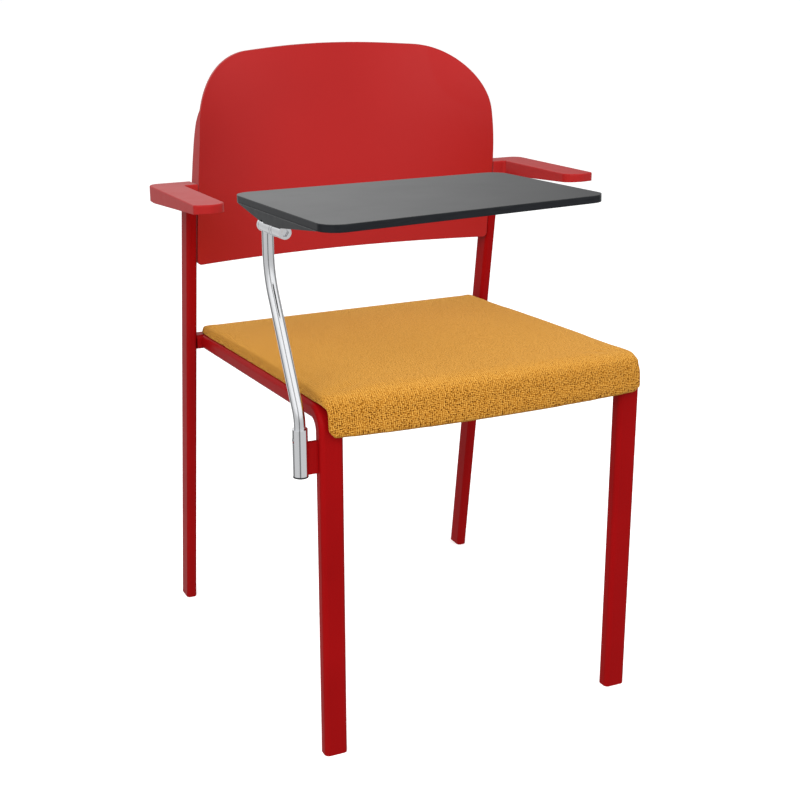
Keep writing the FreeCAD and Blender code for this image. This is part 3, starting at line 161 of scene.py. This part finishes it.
class Graph:
    """The node graph of a material or a world, with short calls for the nodes that they use."""

    def __init__(self, owner):
        owner.use_nodes = True
        self.owner = owner
        self.nodes = owner.node_tree.nodes
        self.links = owner.node_tree.links
        self.shader = self.nodes.get("Principled BSDF") or self.nodes["Background"]

    def feed(self, socket, value):
        """Sets a socket to a constant, or links it to another node's output."""
        if isinstance(value, bpy.types.NodeSocket):
            self.links.new(value, socket)
        elif isinstance(value, tuple) and len(value) == 3 and len(socket.default_value) == 4:
            socket.default_value = (*value, 1.0)
        else:
            socket.default_value = value

    def set(self, **values):
        """Sets the shader's sockets by name, with _ for a space."""
        for name, value in values.items():
            self.feed(self.shader.inputs[name.replace("_", " ")], value)

    def object_place(self, scale=(1, 1, 1)):
        """Coordinates on the object, in metres, times a scale."""
        source = self.nodes.new("ShaderNodeTexCoord").outputs["Object"]
        return self.stretched(source, scale)

    def stretched(self, source, scale):
        """Coordinates times a scale along each axis."""
        mapping = self.nodes.new("ShaderNodeMapping")
        self.links.new(source, mapping.inputs["Vector"])
        mapping.inputs["Scale"].default_value = scale
        return mapping.outputs["Vector"]

    def noise(self, place, scale=1.0, detail=2.0, roughness=0.5):
        """Soft noise from 0 to 1, with about as many spots to the metre as its scale."""
        node = self.nodes.new("ShaderNodeTexNoise")
        self.links.new(place, node.inputs["Vector"])
        node.inputs["Scale"].default_value = scale
        node.inputs["Detail"].default_value = detail
        node.inputs["Roughness"].default_value = roughness
        return node.outputs["Fac"]

    def math(self, operation, first, second=0.0, third=0.0):
        """The result of one of the math node's operations."""
        node = self.nodes.new("ShaderNodeMath")
        node.operation = operation
        for socket, value in zip(node.inputs, (first, second, third)):
            self.feed(socket, value)
        return node.outputs["Value"]

    def split(self, vector):
        """The three parts of a vector."""
        node = self.nodes.new("ShaderNodeSeparateXYZ")
        self.links.new(vector, node.inputs[0])
        return node.outputs

    def span(self, value, low, high, start=0.0, end=1.0):
        """A value between start and end laid out between low and high."""
        node = self.nodes.new("ShaderNodeMapRange")
        self.feed(node.inputs["Value"], value)
        node.inputs["From Min"].default_value = start
        node.inputs["From Max"].default_value = end
        node.inputs["To Min"].default_value = low
        node.inputs["To Max"].default_value = high
        return node.outputs["Result"]

    def ramp(self, value, *stops):
        """Colours at places from 0 to 1."""
        node = self.nodes.new("ShaderNodeValToRGB")
        self.feed(node.inputs["Fac"], value)
        elements = node.color_ramp.elements
        while len(elements) < len(stops):
            elements.new(1.0)
        for element, (place, colour) in zip(elements, stops):
            element.position = place
            element.color = (*colour, 1.0)
        return node.outputs["Color"]

    def mottled(self, value, colour, darkest, lightest, start=0.3, end=0.7):
        """A colour that goes from one multiple of itself to another as a value goes from start to end."""
        return self.ramp(value, (start, tinted(colour, darkest)), (end, tinted(colour, lightest)))

    def bump(self, height, strength, distance, edge=None):
        """Relief in the surface, over edges that are rounded where a radius is given."""
        node = self.nodes.new("ShaderNodeBump")
        self.feed(node.inputs["Height"], height)
        if edge:
            rounded = self.nodes.new("ShaderNodeBevel")
            rounded.samples = EDGE_SAMPLES
            rounded.inputs["Radius"].default_value = edge
            self.links.new(rounded.outputs["Normal"], node.inputs["Normal"])
        node.inputs["Strength"].default_value = strength
        node.inputs["Distance"].default_value = distance
        self.links.new(node.outputs["Normal"], self.shader.inputs["Normal"])


def finish_graph(name):
    """The graph of a new material."""
    return Graph(bpy.data.materials.new(name))


def tinted(colour, factor):
    """A colour made darker or lighter."""
    return tuple(channel * factor for channel in colour)


def frame_paint():
    """Stove enamel with a slight orange peel."""
    graph = finish_graph("frame_paint")
    place = graph.object_place()
    cloud = graph.noise(place, scale=9.0)
    gloss = graph.noise(place, scale=45.0)
    peel = graph.noise(place, scale=420.0, detail=1.0)
    graph.set(Base_Color=graph.mottled(cloud, PAINT_RED, darkest=0.94, lightest=1.06))
    graph.set(Roughness=graph.span(gloss, low=0.26, high=0.36), IOR=COAT_IOR, Specular_IOR_Level=0.03)
    graph.bump(peel, strength=0.08, distance=0.1 * MM, edge=EDGE_FINE)
    return graph.owner


def shell_plastic():
    """Satin moulded plastic with a fine grain."""
    graph = finish_graph("shell_plastic")
    place = graph.object_place()
    cloud = graph.noise(place, scale=5.0, detail=3.0)
    gloss = graph.noise(place, scale=60.0)
    grain = graph.noise(place, scale=1100.0, roughness=0.6)
    graph.set(Base_Color=graph.mottled(cloud, SHELL_RED, darkest=0.96, lightest=1.04))
    graph.set(Roughness=graph.span(gloss, low=0.36, high=0.44), IOR=COAT_IOR, Specular_IOR_Level=0.24)
    graph.bump(grain, strength=0.10, distance=0.08 * MM, edge=EDGE_MOULDED)
    return graph.owner


def chrome():
    """Bright plating with faint polishing lines along the tube."""
    graph = finish_graph("chrome")
    lines = graph.noise(graph.object_place(scale=(900, 900, 12)))
    graph.set(Base_Color=graph.mottled(lines, CHROME_GREY, darkest=0.96, lightest=1.0, start=0.2, end=0.8))
    graph.set(Metallic=1.0, Roughness=graph.span(lines, low=0.06, high=0.12))
    graph.bump(lines, strength=0.03, distance=0.05 * MM, edge=EDGE_FINE)
    return graph.owner


def steel():
    """Zinc-plated steel, a little clouded."""
    graph = finish_graph("steel")
    cloud = graph.noise(graph.object_place(), scale=320.0, detail=4.0, roughness=0.65)
    graph.set(Base_Color=graph.mottled(cloud, STEEL_GREY, darkest=0.8, lightest=1.0))
    graph.set(Metallic=1.0, Roughness=graph.span(cloud, low=0.25, high=0.45))
    graph.bump(cloud, strength=0.08, distance=0.08 * MM, edge=EDGE_FINE)
    return graph.owner


def dark_plastic():
    """Charcoal moulded plastic with a fine spark grain."""
    graph = finish_graph("dark_plastic")
    place = graph.object_place()
    grain = graph.noise(place, scale=1400.0, roughness=0.6)
    gloss = graph.noise(place, scale=80.0)
    graph.set(Base_Color=graph.mottled(grain, PLASTIC_DARK, darkest=0.8, lightest=1.25))
    graph.set(Roughness=graph.span(gloss, low=0.34, high=0.46), IOR=COAT_IOR, Specular_IOR_Level=0.25)
    graph.bump(grain, strength=0.15, distance=0.1 * MM, edge=EDGE_MOULDED)
    return graph.owner


def tablet_board():
    """Dense black board: cut and polished edges with a faint fibre."""
    graph = finish_graph("tablet_board")
    fibre = graph.noise(graph.object_place(scale=(60, 60, 900)), detail=3.0, roughness=0.6)
    graph.set(Base_Color=graph.mottled(fibre, BOARD_DARK, darkest=0.8, lightest=1.5, end=0.75))
    graph.set(Roughness=graph.span(fibre, low=0.28, high=0.38), IOR=COAT_IOR, Specular_IOR_Level=0.15)
    graph.bump(fibre, strength=0.06, distance=0.08 * MM, edge=EDGE_MOULDED)
    return graph.owner


def tablet_top():
    """Grey laminate with a fine satin pebble."""
    graph = finish_graph("tablet_top")
    place = graph.object_place()
    pebble = graph.noise(place, scale=1900.0, roughness=0.55)
    cloud = graph.noise(place, scale=14.0, detail=3.0)
    graph.set(Base_Color=graph.mottled(pebble, TOP_GREY, darkest=0.92, lightest=1.08))
    graph.set(Roughness=graph.span(cloud, low=0.30, high=0.36), IOR=COAT_IOR, Specular_IOR_Level=0.4)
    graph.bump(pebble, strength=0.10, distance=0.06 * MM, edge=EDGE_FINE)
    return graph.owner


def plywood():
    """Birch faces with grain across the seat, and ply lines on the edges."""
    graph = finish_graph("plywood")
    grain = graph.noise(graph.object_place(scale=(8, 260, 260)), detail=4.0, roughness=0.6)
    plies = graph.noise(graph.object_place(scale=(0, 0, 900)), detail=0.0)
    both = graph.math("MULTIPLY_ADD", plies, PLY_SHARE, graph.math("MULTIPLY", grain, 1 - PLY_SHARE))
    graph.set(Base_Color=graph.ramp(both, (0.35, WOOD_DARK), (0.65, WOOD_LIGHT)))
    graph.set(Roughness=graph.span(grain, low=0.45, high=0.6), IOR=COAT_IOR)
    graph.bump(grain, strength=0.1, distance=0.1 * MM, edge=EDGE_FINE)
    return graph.owner


def yarn(graph, run):
    """Height over one yarn, from 0 at its sides to 1 along its middle."""
    return graph.math("SINE", graph.math("MULTIPLY", graph.math("FRACT", run), math.pi))


def upper_yarn(graph, warp_run, weft_run):
    """Height of the yarn that is on top, which at each crossing is a warp or a weft by chance."""
    cell = graph.nodes.new("ShaderNodeCombineXYZ")
    graph.links.new(graph.math("FLOOR", warp_run), cell.inputs[0])
    graph.links.new(graph.math("FLOOR", weft_run), cell.inputs[1])
    chance = graph.nodes.new("ShaderNodeTexWhiteNoise")
    graph.links.new(cell.outputs[0], chance.inputs["Vector"])
    warp = yarn(graph, warp_run)
    weft = yarn(graph, weft_run)
    pick = graph.nodes.new("ShaderNodeMix")
    graph.feed(pick.inputs["Factor"], graph.math("GREATER_THAN", chance.outputs["Value"], 0.5))
    graph.feed(pick.inputs["A"], graph.math("MULTIPLY", weft, graph.span(warp, low=YARN_NIP, high=1.0)))
    graph.feed(pick.inputs["B"], graph.math("MULTIPLY", warp, graph.span(weft, low=YARN_NIP, high=1.0)))
    return pick.outputs["Result"]


def scattered_pits(graph, cloth_place, downturn):
    """Depth of the pits between the yarns, by chance, and more where the surface turns down. In the colour
    it is painted shade.
    """
    scatter = graph.nodes.new("ShaderNodeTexVoronoi")
    scatter.voronoi_dimensions = "2D"
    scatter.inputs["Scale"].default_value = 1 / PIT_PITCH
    graph.links.new(cloth_place, scatter.inputs["Vector"])
    chance = graph.nodes.new("ShaderNodeSeparateColor")
    graph.links.new(scatter.outputs["Color"], chance.inputs[0])
    near = graph.span(scatter.outputs["Distance"], 1.0, 0.0, *PIT_RADII)
    deep = graph.span(chance.outputs["Red"], PIT_LEAST, 1.0, *PIT_CHANCES)
    pit = graph.math("MULTIPLY", near, deep)
    return graph.math("MULTIPLY", pit, graph.span(downturn, low=PIT_ON_TOP, high=1.0))


def seat_fabric():
    """Mustard crepe: fine yarns that cross in no set order, with pits scattered between them. Its colour
    holds painted shade in the pits, in the dips between yarns and on the apron, and a painted highlight on
    the yarn tops.
    """
    graph = finish_graph("seat_fabric")
    weave = graph.nodes.new("ShaderNodeAttribute")
    weave.attribute_name = WEAVE
    cloth_place = weave.outputs["Vector"]
    across, along, downturn = graph.split(graph.stretched(cloth_place, (1 / YARN_PITCH, 1 / YARN_PITCH, 1)))
    drift = graph.noise(graph.stretched(cloth_place, (1, 1, 0)), scale=160.0)
    warp_run = graph.math("MULTIPLY_ADD", drift, YARN_DRIFT, across)
    weft_run = graph.math("MULTIPLY_ADD", drift, -YARN_DRIFT, along)
    height = upper_yarn(graph, warp_run, weft_run)
    pit = scattered_pits(graph, cloth_place, downturn)
    hairs = graph.noise(graph.object_place(), scale=700.0, detail=3.0, roughness=0.7)
    fuzz = graph.math("SUBTRACT", hairs, 0.5)
    # Painted shade and highlight by yarn height: darker in the dips between yarns, lighter on their tops
    lift = graph.math("MULTIPLY_ADD", fuzz, FUZZ_TONE, graph.span(height, low=YARN_SIDE, high=1.0))
    # Painted shade on the apron, darker where the surface turns down
    apron_shaded = graph.math("MULTIPLY_ADD", downturn, -APRON_SHADE, lift)
    # Painted shade in the pits, stronger where the surface turns down
    tone = graph.math("MULTIPLY_ADD", pit, -PIT_SHADE, apron_shaded)
    graph.set(Base_Color=graph.ramp(tone, *YARN_SHADE_TONES), Roughness=0.9, Specular_IOR_Level=0.1)
    graph.set(Sheen_Weight=0.15, Sheen_Roughness=0.5, Sheen_Tint=SHEEN_TINT)
    graph.bump(tone, strength=0.6, distance=0.5 * MM)
    return graph.owner


FINISHES = {
    frame_paint: ["side_frame_right", "side_frame_left", "rear_leg_right", "rear_leg_left",
                  "front_cross_rail", "rear_cross_rail", "socket_bracket",
                  "front_foot_right", "front_foot_left", "rear_foot_right", "rear_foot_left"],
    shell_plastic: ["back_shell", "armrest_right", "armrest_left"],
    chrome: ["socket_tube", "arm_tube", "hinge_barrel", "hinge_lug_front", "hinge_lug_rear", "hinge_cap"],
    steel: ["seat_nuts", "seat_screws", "back_screws", "arm_stop_pin", "hinge_axle", "hinge_nut",
            "hinge_washers", "support_screws"],
    dark_plastic: ["socket_plug", "arm_plug", "hinge_support"],
    tablet_board: ["tablet_core"],
    tablet_top: ["tablet_laminate"],
    plywood: ["seat_board"],
}


def dress_nodes():
    """Gives each rigid CAD node its finish."""
    for finish, names in FINISHES.items():
        material = finish()
        for name in names:
            NODES[name].data.materials.clear()
            NODES[name].data.materials.append(material)


def bake(obj):
    """Applies the object's modifiers to its mesh."""
    shaped = bpy.data.meshes.new_from_object(obj.evaluated_get(bpy.context.evaluated_depsgraph_get()))
    obj.modifiers.clear()
    obj.data = shaped


def points_of(mesh):
    """Places of a mesh's points, one row each."""
    places = np.zeros(len(mesh.vertices) * 3, np.float32)
    mesh.vertices.foreach_get("co", places)
    return places.reshape(-1, 3)


def normals_of(mesh):
    """Directions that a mesh's points face, one row each."""
    directions = np.zeros(len(mesh.vertices) * 3, np.float32)
    mesh.vertex_normals.foreach_get("vector", directions)
    return directions.reshape(-1, 3)


def joined(name, *names):
    """A new object with the meshes of several CAD nodes."""
    places = []
    faces = []
    for node in names:
        mesh = NODES[node].data
        offset = len(places)
        places.extend(vertex.co[:] for vertex in mesh.vertices)
        faces.extend([offset + index for index in face.vertices] for face in mesh.polygons)
    mesh = bpy.data.meshes.new(name)
    mesh.from_pydata(places, [], faces)
    obj = bpy.data.objects.new(name, mesh)
    bpy.context.scene.collection.objects.link(obj)
    return obj


def smooth_step(value, low, high):
    """0 up to low, 1 from high, and an even rise between them."""
    share = np.clip((value - low) / (high - low), 0, 1)
    return share * share * (3 - 2 * share)


def off_rails(pad):
    """1 where the pad is clear of the rails, and 0 along the lower rim that lies on them."""
    places = points_of(pad.data)
    above = (places[:, 2] - SEAT_HEIGHT) * math.cos(SEAT_SLOPE) + places[:, 1] * math.sin(SEAT_SLOPE)
    ahead = places[:, 1] < LEGS_FRONT
    return np.maximum(smooth_step(above, PAD_RIM, 2 * PAD_RIM), ahead)


def smooth(pad, steps, weights):
    """Evens the surface out where the weights are over 0."""
    group = pad.vertex_groups.new(name="smooth")
    for index in np.flatnonzero(weights > 0):
        group.add([int(index)], float(weights[index]), "REPLACE")
    even = pad.modifiers.new("even", "SMOOTH")
    even.vertex_group = group.name
    even.iterations = steps
    bake(pad)
    pad.vertex_groups.clear()


def remesh(pad):
    """Gives the pad an even mesh, in line with the rails so that the rim on them stays crisp."""
    on_rails = Matrix.Translation((0, 0, SEAT_HEIGHT)) @ Matrix.Rotation(-SEAT_SLOPE, 4, "X")
    pad.data.transform(on_rails.inverted())
    voxels = pad.modifiers.new("voxels", "REMESH")
    voxels.mode = "VOXEL"
    voxels.voxel_size = PAD_VOXEL
    bake(pad)
    pad.data.transform(on_rails)
    smooth(pad, PAD_SMOOTH_STEPS, off_rails(pad))


def fit_to_cover(pad):
    """Draws the pad's points onto the CAD cover."""
    fit = pad.modifiers.new("fit", "SHRINKWRAP")
    fit.target = NODES["seat_cover"]
    fit.wrap_method = "PROJECT"
    fit.use_negative_direction = True
    fit.cull_face = "FRONT"
    fit.use_invert_cull = True
    fit.project_limit = PAD_REACH
    bake(pad)


def round_brink(pad):
    """Softens the upper edges along the sides and the rear, where the cover turns down."""
    places = points_of(pad.data)
    beside = np.abs(places[:, 0]) - (np.abs(places[:, 0]).max() - PAD_BRINK)
    behind = places[:, 1] - (places[:, 1].max() - PAD_BRINK)
    smooth(pad, PAD_SMOOTH_STEPS, off_rails(pad) * (np.maximum(beside, behind) > 0))
    smooth(pad, 1, off_rails(pad))


def freedom(pad):
    """How far each point may swell: 1 on top, on the front roll and on the sides, 0 on board and rails."""
    places = points_of(pad.data)
    normals = normals_of(pad.data)
    from_front = [-places[:, 1].min() - depth for depth in ROLL_DEPTHS]
    from_sides = [places[:, 0].max() - depth for depth in SIDE_DEPTHS]
    up = smooth_step(normals[:, 2], *UP_FACING)
    ahead = smooth_step(-normals[:, 1], *AHEAD_FACING) * smooth_step(-places[:, 1], *from_front)
    aside = smooth_step(np.abs(places[:, 0]), *from_sides) * smooth_step(normals[:, 2], *ASIDE_FACING)
    return np.maximum(np.maximum(up, ahead), aside) * off_rails(pad)


def swell(pad):
    """Inflates the pad as cloth over its foam. What lies on the board and rails stays put."""
    before = points_of(pad.data)
    free = freedom(pad)
    held = pad.vertex_groups.new(name="held")
    for index in np.flatnonzero(free < FULLY_FREE):
        held.add([int(index)], float(1 - free[index]), "REPLACE")
    cloth = pad.modifiers.new("swell", "CLOTH")
    cloth.settings.use_pressure = True
    cloth.settings.uniform_pressure_force = PAD_PRESSURE
    cloth.settings.effector_weights.gravity = 0
    cloth.settings.vertex_group_mass = held.name
    cloth.point_cache.frame_end = PAD_FRAMES
    scene = bpy.context.scene
    for step in range(1, PAD_FRAMES + 1):
        scene.frame_set(step)
    bake(pad)
    scene.frame_set(1)
    moved = points_of(pad.data) - before
    length = np.linalg.norm(moved, axis=1, keepdims=True)
    moved = moved * np.minimum(1, PAD_CAP / np.maximum(length, LEAST_LENGTH)) * free[:, None]
    pad.data.vertices.foreach_set("co", (before + moved).ravel())
    pad.data.update()
    smooth(pad, PAD_SETTLE_STEPS, off_rails(pad))


def refine(pad):
    """Divides the pad's faces once and shades them smooth."""
    finer = pad.modifiers.new("finer", "SUBSURF")
    finer.levels = 1
    finer.render_levels = 1
    bake(pad)
    pad.data.polygons.foreach_set("use_smooth", [True] * len(pad.data.polygons))


def lay_weave(mesh):
    """Unrolled fabric coordinates, in metres: across the seat, and from the rear over the front roll.

    The third number says how far the surface turns down: 0 on top, 1 on the apron. It sets how much painted
    shade the apron and the pits get.
    """
    places = points_of(mesh)
    normals = normals_of(mesh)
    drop = places[:, 2].max() - places[:, 2]
    aside = smooth_step(np.abs(normals[:, 0]), *SIDE_TURN)
    ahead = smooth_step(np.abs(normals[:, 1]), *FRONT_TURN)
    across = places[:, 0] + np.sign(places[:, 0]) * drop * aside
    along = places[:, 1] + np.sign(normals[:, 1]) * drop * ahead
    downturn = 1 - smooth_step(normals[:, 2], *DOWN_TURN)
    weave = np.stack([across, along, downturn], axis=1).astype(np.float32)
    mesh.attributes.new(WEAVE, "FLOAT_VECTOR", "POINT").data.foreach_set("vector", weave.ravel())


def seat_pad():
    """The upholstered pad, swelled from the foam and its cover."""
    pad = joined("seat_pad", "seat_cover", "seat_foam")
    remesh(pad)
    fit_to_cover(pad)
    round_brink(pad)
    swell(pad)
    refine(pad)
    lay_weave(pad.data)
    pad.data.materials.append(seat_fabric())
    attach(pad, "chair")
    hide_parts("seat_cover", "seat_foam")


def camera():
    """Stands where the photographer stood."""
    data = bpy.data.cameras.new("camera")
    data.lens = CAMERA_LENS
    data.sensor_width = CAMERA_SENSOR
    obj = bpy.data.objects.new("camera", data)
    obj.location = CAMERA_PLACE
    obj.rotation_euler = (math.radians(90 - CAMERA_DOWN), 0, math.radians(-CAMERA_RIGHT))
    bpy.context.scene.collection.objects.link(obj)
    bpy.context.scene.camera = obj


def floor():
    """A wide pale floor, which glows a little and doesn't light the object."""
    graph = finish_graph("floor")
    cloud = graph.noise(graph.object_place(), scale=1.5)
    graph.set(Base_Color=graph.mottled(cloud, FLOOR_PALE, darkest=0.99, lightest=1.0))
    graph.set(Roughness=0.9, Specular_IOR_Level=0.1)
    graph.set(Emission_Color=FLOOR_PALE, Emission_Strength=FLOOR_GLOW)
    corners = [(FLOOR_REACH * x, FLOOR_REACH * y, 0) for x, y in ((-1, -1), (1, -1), (1, 1), (-1, 1))]
    mesh = bpy.data.meshes.new("floor")
    mesh.from_pydata(corners, [], [(0, 1, 2, 3)])
    mesh.materials.append(graph.owner)
    obj = bpy.data.objects.new("floor", mesh)
    bpy.context.scene.collection.objects.link(obj)
    obj.visible_glossy = False
    obj.visible_diffuse = False


def flag_stops():
    """Grey by share of a full turn: bright, with a dark flag at each bearing."""
    stops = []
    for bearing, half, edge in FLAGS:
        edges = [(-half - edge, 1.0), (-half, FLAG_DARK), (half, FLAG_DARK), (half + edge, 1.0)]
        stops.extend(((bearing + turn) / 360 + 0.5, (grey,) * 3) for turn, grey in edges)
    return stops


def surround():
    """A white studio. What shiny surfaces see of it is a pale room with dark flags."""
    world = bpy.data.worlds.new("surround")
    bpy.context.scene.world = world
    graph = Graph(world)
    across, along, upward = graph.split(graph.nodes.new("ShaderNodeTexCoord").outputs["Generated"])
    room = graph.ramp(graph.span(upward, low=0.0, high=1.0, start=-1.0, end=1.0),
                      *[((height + 1) / 2, (grey,) * 3) for height, grey in ROOM_HEIGHTS])
    bearing = graph.math("ARCTAN2", along, across)
    share = graph.math("MULTIPLY_ADD", bearing, 1 / math.tau, 0.5 - FLAG_BEARING / 360)
    flags = graph.ramp(graph.math("FRACT", share), *flag_stops())
    mirrored = graph.math("MULTIPLY", graph.math("MULTIPLY", room, flags), ROOM_GAIN)
    path = graph.nodes.new("ShaderNodeLightPath")
    excess = graph.math("SUBTRACT", mirrored, AMBIENT)
    shone = graph.math("MULTIPLY_ADD", path.outputs["Is Glossy Ray"], excess, AMBIENT)
    seen = graph.math("MULTIPLY_ADD", path.outputs["Is Camera Ray"], BACKDROP - AMBIENT, shone)
    graph.set(Strength=seen, Color=WHITE)
    bpy.context.scene.view_settings.view_transform = "Standard"


def soft_light(name, place, side, power):
    """A large square light, which shiny surfaces don't show."""
    data = bpy.data.lights.new(name, "AREA")
    data.shape = "SQUARE"
    data.size = side
    data.energy = power
    obj = bpy.data.objects.new(name, data)
    obj.location = place
    obj.rotation_euler = (Vector(LIGHT_TARGET) - Vector(place)).to_track_quat("-Z", "Y").to_euler()
    obj.visible_glossy = False
    bpy.context.scene.collection.objects.link(obj)


def lights():
    """Large soft lights: one in front, a key on the left, a fill on the right and one overhead.

    The tablet shades nothing, and shiny surfaces don't show it, the back or the arms.
    """
    for name, (place, side, power) in SOFT_LIGHTS.items():
        soft_light(name, place, side, power)
    for name in UNSHADING:
        NODES[name].visible_shadow = False
        NODES[name].visible_diffuse = False
    for name in UNMIRRORED:
        NODES[name].visible_glossy = False


dress_nodes()
seat_pad()
camera()
floor()
surround()
lights()
